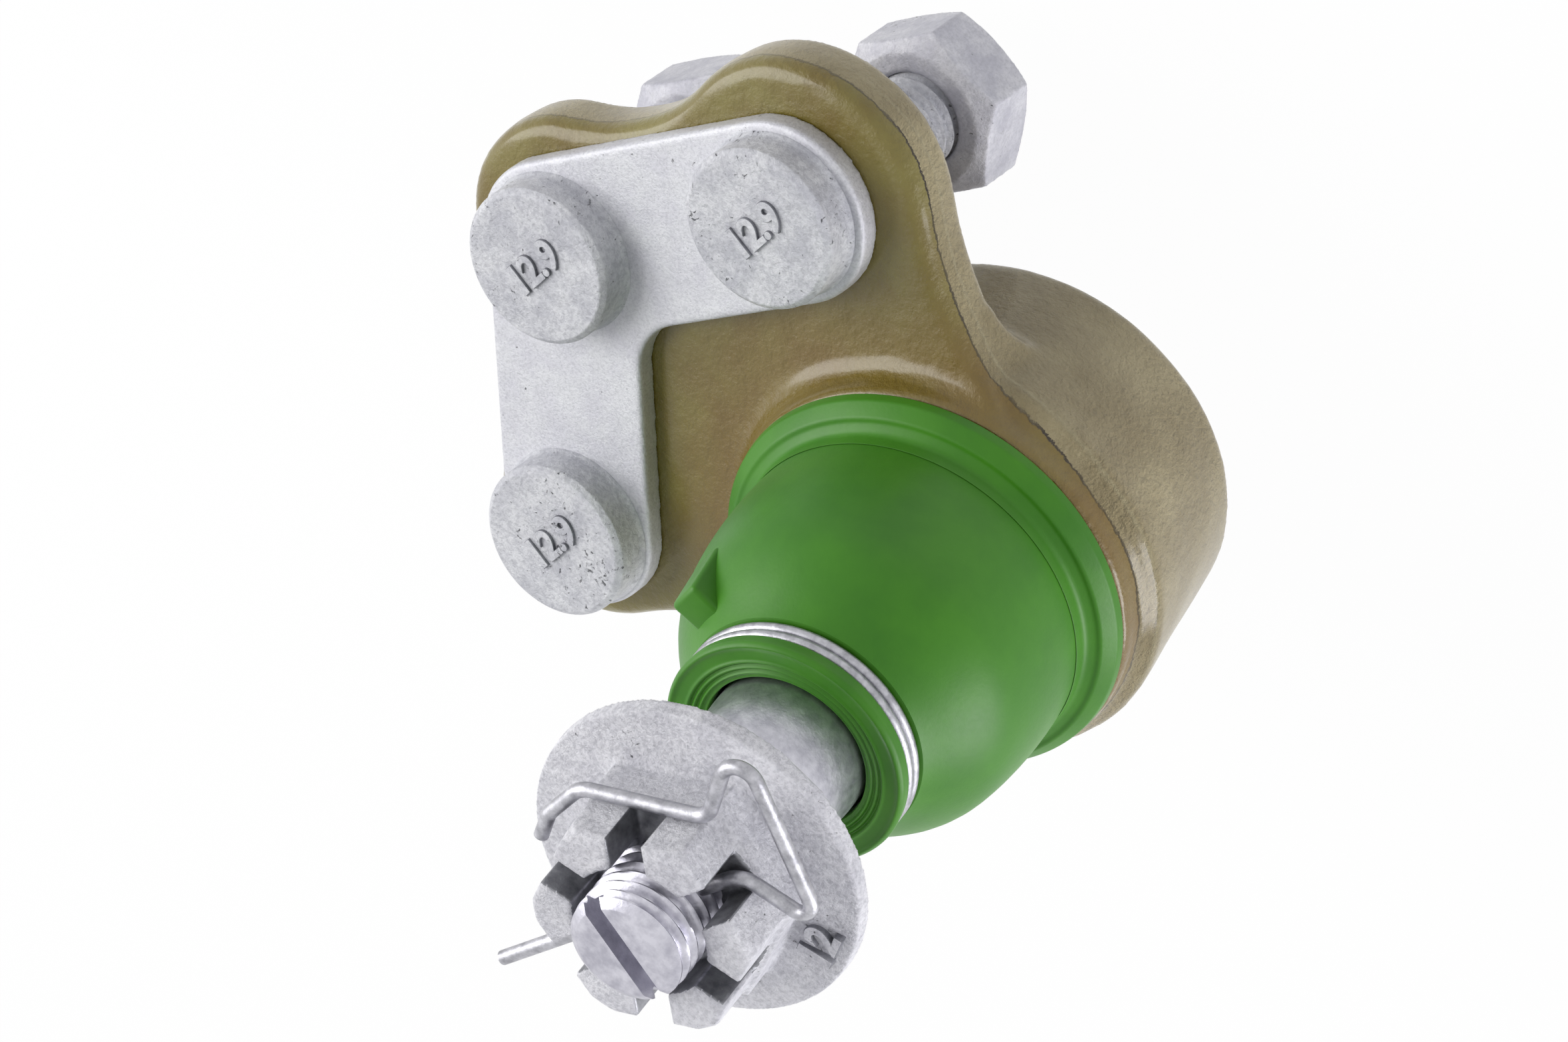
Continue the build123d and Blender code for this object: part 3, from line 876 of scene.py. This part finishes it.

# %% [markdown]
# ## Bolts
# Each bolt has a plain round head on a threaded shank, and carries its strength grade, 12.9,
# raised on the head. The head is cold formed, so its rim is soft. The figures are small text
# objects, made into a mesh and laid on the head. In even light their own shadow is too faint to
# read, so their flanks wear a darker coat as painted shade.

# %% Helper for raised figures
FLANK = 0.85  # faces that look up less than this are flanks


def raised_figures(words, size, height, weight, place, coating):
    """Figures in low relief, in millimetres, with their middle at the place's origin."""
    bpy.ops.object.select_all(action="DESELECT")
    bpy.ops.object.text_add()
    piece = bpy.context.object
    piece.name = "figures"
    piece.data.body = words
    piece.data.align_x, piece.data.align_y = "CENTER", "CENTER"
    piece.data.size = size * MM
    piece.data.extrude = height / 2 * MM
    piece.data.offset = weight * MM
    piece.data.bevel_depth = 0.12 * MM
    piece.data.bevel_resolution = 2
    bpy.ops.object.convert(target="MESH")
    piece = bpy.context.object
    wear(piece, coating)
    # The flanks take a dark coat as painted shade, standing in for the figures' own shadow.
    piece.data.materials.append(painted_shade_zinc)
    for polygon in piece.data.polygons:
        polygon.material_index = int(polygon.normal.z < FLANK)
    piece.matrix_world = place
    settle(piece)
    return piece


def joined(main, *others):
    """Join meshes into the first one."""
    pick(main)
    for other in others:
        other.select_set(True)
    bpy.ops.object.join()
    return main


# %% Outline of a bolt
HEAD_R, HEAD_TOP = 8.6, 4.2
SHANK_R, SHANK_END = 5.0, -34.7
head = rounded([(0, SHANK_END, 0), (4.1, SHANK_END, 0.2), (SHANK_R, -33.8, 0)])
head = [(p.x, p.y) for p in head]
head += ladder(SHANK_R, low=-33.6, high=-12.0, step=0.19) + [(SHANK_R, -10.0)]
head += [
    (p.x, p.y)
    for p in rounded(
        [
            (SHANK_R, 0.0, 0),
            (HEAD_R + 0.3, 0.0, 0.05),
            (HEAD_R, 0.6, 0.3),
            (HEAD_R, HEAD_TOP - 0.6, 0.15),
            (HEAD_R - 0.6, HEAD_TOP, 0.2),
            (HEAD_R - 2.0, HEAD_TOP - 0.05, 0),
            (0, HEAD_TOP - 0.12, 0),
        ],
    )
]
print("bolt outline has", len(head), "points")

# %% Bolts in their places on the flange
BOLTS = {"corner": (49.4, 9.1), "near": (36.7, -17.8), "far": (27.8, 32.7)}
flange_place = Matrix.Translation((0, 0, FLANGE_HEIGHT * MM)) @ Matrix.Rotation(FLANGE_TILT, 4, "Y")
on_head = Matrix.Translation((0, 0, (HEAD_TOP - 0.06) * MM)) @ Matrix.Rotation(radians(-92), 4, "Z")
for bolt_name, (u, v) in BOLTS.items():
    bolt = turned("round_head_bolt_" + bolt_name, head, steps=96)
    cut_thread(bolt, SHANK_R, THREAD_DEPTH, PITCH, low=-33.7, high=-12.0)
    smooth(bolt, 34)
    grade = raised_figures(
        "12.9", size=4.5, height=0.36, weight=0.08, place=on_head, coating=zinc_head
    )
    wear(bolt, zinc_head)
    bolt = joined(bolt, grade)
    bolt.matrix_world = flange_place @ Matrix.Translation((u * MM, v * MM, 0))
    settle(bolt)
    done(bolt, "socket", ["bolt_" + bolt_name])

# %% [markdown]
# ## Property class on the castellated nut
# The nut's flange carries 12, its property class, in raised figures that read round the rim.

# %% Figures on the nut
FIGURE_BEARING = radians(198.3)
FIGURE_R, RIM_TOP = 14.4, 54.3
across_rim, along_rim = cos(FIGURE_BEARING), sin(FIGURE_BEARING)
on_rim = Matrix(
    (
        (-along_rim, -across_rim, 0, FIGURE_R * across_rim * MM),
        (across_rim, -along_rim, 0, FIGURE_R * along_rim * MM),
        (0, 0, 1, RIM_TOP * MM),
        (0, 0, 0, 1),
    ),
)
# The flanks of these figures carry the same painted shade.
class_figures = raised_figures(
    "12", size=4.8, height=1.0, weight=0.12, place=on_rim, coating=zinc_forged
)
class_figures.name = "nut_class_figures"
done(class_figures, "stud")

# %% [markdown]
# ## Rubber boot
# The boot is one moulding: a lip that seals on its steel rim, a belly that leaves the stud room to
# swing, a groove for the wire ring, and a ribbed cuff that grips the stud. It crosses both swing
# hinges. Each half is turned from its own outline, and the two halves meet in the middle of the
# boot. The wall is thin enough inside that the stud clears it at full swing.

# %% Lower half of the boot
SEAM = 20.0
lower_outline = rounded(
    [
        (17.25, 5.75, 0.2), (21.63, 5.75, 0.05), (21.63, 5.1, 0.05), (21.9, 5.1, 0.1),
        (21.75, 6.1, 0.2), (20.55, 7.45, 0.25), (20.0, 7.5, 0.2), (19.0, 8.1, 0.6),
        (18.96, 9.8, 0.3),
    ],
)
lower_outline = [(p.x, p.y) for p in lower_outline]
lower_outline += [
    (18.99, 11.0), (19.04, 12.5), (19.05, 14.0), (19.02, 15.5), (18.94, 17.0), (18.82, 18.4),
    (18.73, 19.3), (18.64, SEAM),
]
lower_outline += [
    (17.1, SEAM), (17.25, 17.6), (17.3, 15.0), (17.3, 12.5), (17.3, 10.5), (17.25, 9.9)
]
lower = turned("boot_lower_half", lower_outline, steps=160)
print("boot halves meet at", SEAM, "mm")

# %% Upper half of the boot, with its groove and ribbed cuff
upper_outline = [
    (17.1, SEAM), (18.64, SEAM), (18.54, 20.7), (18.38, 21.7), (18.14, 22.8), (17.78, 23.9),
    (17.3, 25.0), (16.68, 26.1), (15.98, 27.2), (15.22, 28.3), (14.45, 29.3), (13.8, 30.1),
    (13.35, 30.7), (13.05, 31.1), (12.85, 31.4), (12.5, 31.5),
]
upper_outline += [
    (p.x, p.y)
    for p in rounded(
        [
            (11.6, 31.6, 0.15), (11.6, 34.15, 0.15), (12.75, 34.25, 0.15), (12.95, 35.6, 0.3),
            (12.5, 36.1, 0.25), (12.05, 35.85, 0.3), (11.0, 35.85, 0.3), (10.7, 36.05, 0.15),
            (10.4, 35.6, 0.15), (10.05, 36.0, 0.15), (9.75, 35.55, 0.15), (9.4, 35.95, 0.15),
            (9.15, 35.5, 0.15), (8.75, 35.6, 0.15), (8.65, 34.6, 0), (8.9, 32.0, 0.3),
            (9.6, 31.2, 0.3),
        ],
    )
]
upper_outline += [(11.3, 30.2), (13.0, 28.4), (14.6, 26.4), (16.1, 24.0), (16.85, 22.0)]
upper = turned("boot_upper_half", upper_outline, steps=160)
print("the cuff is", max(z for r, z in upper_outline), "mm up")

# %% [markdown]
# The pull tab is a small gusset on the boot's shoulder, with a three-sided hollow in its side.
# It starts as a cube whose far corners are drawn in, and its side is inset and pressed in.

# %% Pull tab
TAB_ANGLE, TAB_HALF = 2.2, 2.1
bpy.ops.object.select_all(action="DESELECT")
bpy.ops.mesh.primitive_cube_add(size=2)
tab = bpy.context.object
tab.name = "boot_pull_tab"
for vertex in tab.data.vertices:
    outside, top, side = vertex.co.x > 0, vertex.co.z > 0, vertex.co.y
    if outside:
        r, z = (17.4, 29.8) if top else (18.1, 23.2)
    else:
        r, z = (13.1, 29.8) if top else (16.9, 22.4)
    vertex.co = (r * MM, side * TAB_HALF * MM, z * MM)
near_face = min(tab.data.polygons, key=lambda p: p.center.y)
bpy.ops.object.mode_set(mode="EDIT")
bpy.ops.mesh.select_mode(type="FACE")
bpy.ops.mesh.select_all(action="DESELECT")
bpy.ops.object.mode_set(mode="OBJECT")
for polygon in tab.data.polygons:
    polygon.select = polygon.index == near_face.index
bpy.ops.object.mode_set(mode="EDIT")
bpy.ops.mesh.inset(thickness=0.6 * MM, depth=0)
bpy.ops.mesh.inset(thickness=0.4 * MM, depth=-1.4 * MM)
bpy.ops.object.mode_set(mode="OBJECT")
apply_modifier(
    tab, "BEVEL", width=0.55 * MM, segments=4, limit_method="ANGLE", angle_limit=radians(25)
)
tab.rotation_euler = (0, 0, radians(TAB_ANGLE))
settle(tab)
print("tab is", round(tab.dimensions.z / MM, 1), "mm high")

# %% [markdown]
# The tab joins the upper half, both halves take the rubber and their own places in their
# meshes, and the boot's solid is hidden.

# %% Finish the boot
upper = joined(upper, tab)
for piece in (lower, upper):
    smooth(piece, 40)
    wear(piece, rubber)
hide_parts("dust_boot")
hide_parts("dust_boot")
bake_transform(lower)
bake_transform(upper)

# %% [markdown]
# ## Pieces whose solids are right as they are
# The wire ring, the lock pin, the boot's rim, the cap, the seat and its spring keep their solids.
# Each gets the finish of its own material.

# %% Finishes on solids
for node, material in {
    "boot_ring": spring_wire,
    "lock_pin": spring_wire,
    "boot_insert": bare_steel,
    "end_cap": bare_steel,
    "bearing_seat": acetal,
    "preload_spring": spring_wire,
}.items():
    wear(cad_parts[node], material)
    print(node, "keeps its solid")

# %% [markdown]
# ## Floor, light and camera
# The part stands on its bolts on a white sheet. The sheet and the world are white to the camera,
# in reflections and through glass, and light the part only as much as a pale room would. A small
# share of the sheet stays lit paper even there, so that it keeps the part's faint shadow.

# %% Helper for what the camera meets
def seen_as_white(tree):
    """One for rays that reach the camera straight, in a reflection or through glass."""
    seen = add_node(tree, "ShaderNodeLightPath")
    either = add_node(
        tree,
        "ShaderNodeMath",
        {"operation": "MAXIMUM"},
        {0: seen.outputs["Is Camera Ray"], 1: seen.outputs["Is Glossy Ray"]},
    )
    return add_node(
        tree,
        "ShaderNodeMath",
        {"operation": "MAXIMUM"},
        {0: either.outputs[0], 1: seen.outputs["Is Transmission Ray"]},
    )


# %% Floor
FLOOR_SIZE, FLOOR_GAP = 6, 0.0003
bpy.ops.object.select_all(action="DESELECT")
bpy.ops.mesh.primitive_plane_add(size=FLOOR_SIZE, location=(0, 0, cad_box[0].z - FLOOR_GAP))
floor = bpy.context.object
floor.name = "studio_floor"
settle(floor)
sheet = bpy.data.materials.new("white_paper_sheet")
sheet.use_nodes = True
tree = sheet.node_tree
surface = tree.nodes["Principled BSDF"]
surface.inputs["Base Color"].default_value = paint_color("#F6F6F6")
surface.inputs["Roughness"].default_value = 0.9
either = seen_as_white(tree)
glow = add_node(tree, "ShaderNodeEmission", {"Color": (1, 1, 1, 1), "Strength": 1.0})
share = add_node(tree, "ShaderNodeMath", {"operation": "MULTIPLY", 1: 0.97}, {0: either.outputs[0]})
both = add_node(
    tree,
    "ShaderNodeMixShader",
    {},
    {0: share.outputs[0], 1: surface.outputs[0], 2: glow.outputs[0]},
)
tree.links.new(both.outputs[0], tree.nodes["Material Output"].inputs["Surface"])
wear(floor, sheet)
print("floor lies at", round(floor.data.vertices[0].co.z / MM, 1), "mm")

# %% [markdown]
# The camera was fitted to the photograph together with the part: a long lens, looking down on the
# nut end from about six times the part's height away. The lamps are placed by its axes.

# %% Camera
CAMERA_PLACE = Vector((57.3185, -417.8775, 430.3862)) * MM
CAMERA_RIGHT = Vector((-0.71179346, -0.53142097, -0.45928404))
CAMERA_DOWN = Vector((-0.69866946, 0.46848158, 0.54072729))
CAMERA_AHEAD = Vector((-0.07218771, 0.70577388, -0.70474972))
SENSOR, FOCAL_PIXELS, PICTURE_PIXELS = 36, 9000, 2359
camera_data = bpy.data.cameras.new("Camera")
camera_data.sensor_width = SENSOR
camera_data.lens = SENSOR * FOCAL_PIXELS / PICTURE_PIXELS
camera_data.clip_start, camera_data.clip_end = 0.01, 10
camera = bpy.data.objects.new("Camera", camera_data)
bpy.context.scene.collection.objects.link(camera)
camera.matrix_world = Matrix.Translation(CAMERA_PLACE) @ Matrix(
    (CAMERA_RIGHT, -CAMERA_DOWN, -CAMERA_AHEAD)
).transposed().to_4x4()
bpy.context.scene.camera = camera
print("lens", round(camera_data.lens, 1), "mm")

# %% Room light
room = bpy.data.worlds.new("pale_room")
bpy.context.scene.world = room
room.use_nodes = True
tree = room.node_tree
either = seen_as_white(tree)
soft = add_node(tree, "ShaderNodeBackground", {"Color": (0.97, 0.97, 1.0, 1), "Strength": 0.36})
white = add_node(tree, "ShaderNodeBackground", {"Color": (1, 1, 1, 1), "Strength": 1.0})
both = add_node(
    tree, "ShaderNodeMixShader", {}, {0: either.outputs[0], 1: soft.outputs[0], 2: white.outputs[0]}
)
tree.links.new(both.outputs[0], tree.nodes["World Output"].inputs["Surface"])
print("the room lights the part at", soft.inputs["Strength"].default_value)

# %% [markdown]
# Two soft lamps stand low at the picture's left and lower right, so that both sides of the boot
# carry a sheen and the nuts' faces differ. They are placed in metres from the part's middle,
# along the picture's own axes.

# %% Lamps
PART_MIDDLE = Vector((0.012, 0.0, 0.018))


def lamp(name, right, up, back, size, power, color):
    """A soft square lamp, right, up and back from the part's middle and aimed at it."""
    data = bpy.data.lights.new(name, "AREA")
    data.size, data.energy, data.color = size, power, color
    light = bpy.data.objects.new(name, data)
    bpy.context.scene.collection.objects.link(light)
    light.location = PART_MIDDLE + CAMERA_RIGHT * right - CAMERA_DOWN * up - CAMERA_AHEAD * back
    light.rotation_euler = (PART_MIDDLE - light.location).to_track_quat("-Z", "Y").to_euler()
    print(name, "at", [round(v, 2) for v in light.location], "with", power, "W")


lamp(
    "key_softbox", right=-0.55, up=0.06, back=0.14, size=0.45, power=2.9, color=(1.0, 0.99, 0.98)
)
lamp(
    "fill_softbox", right=0.48, up=-0.34, back=0.1, size=0.4, power=3.6, color=(0.98, 0.97, 1.0)
)
bpy.context.scene.view_settings.view_transform = "Standard"
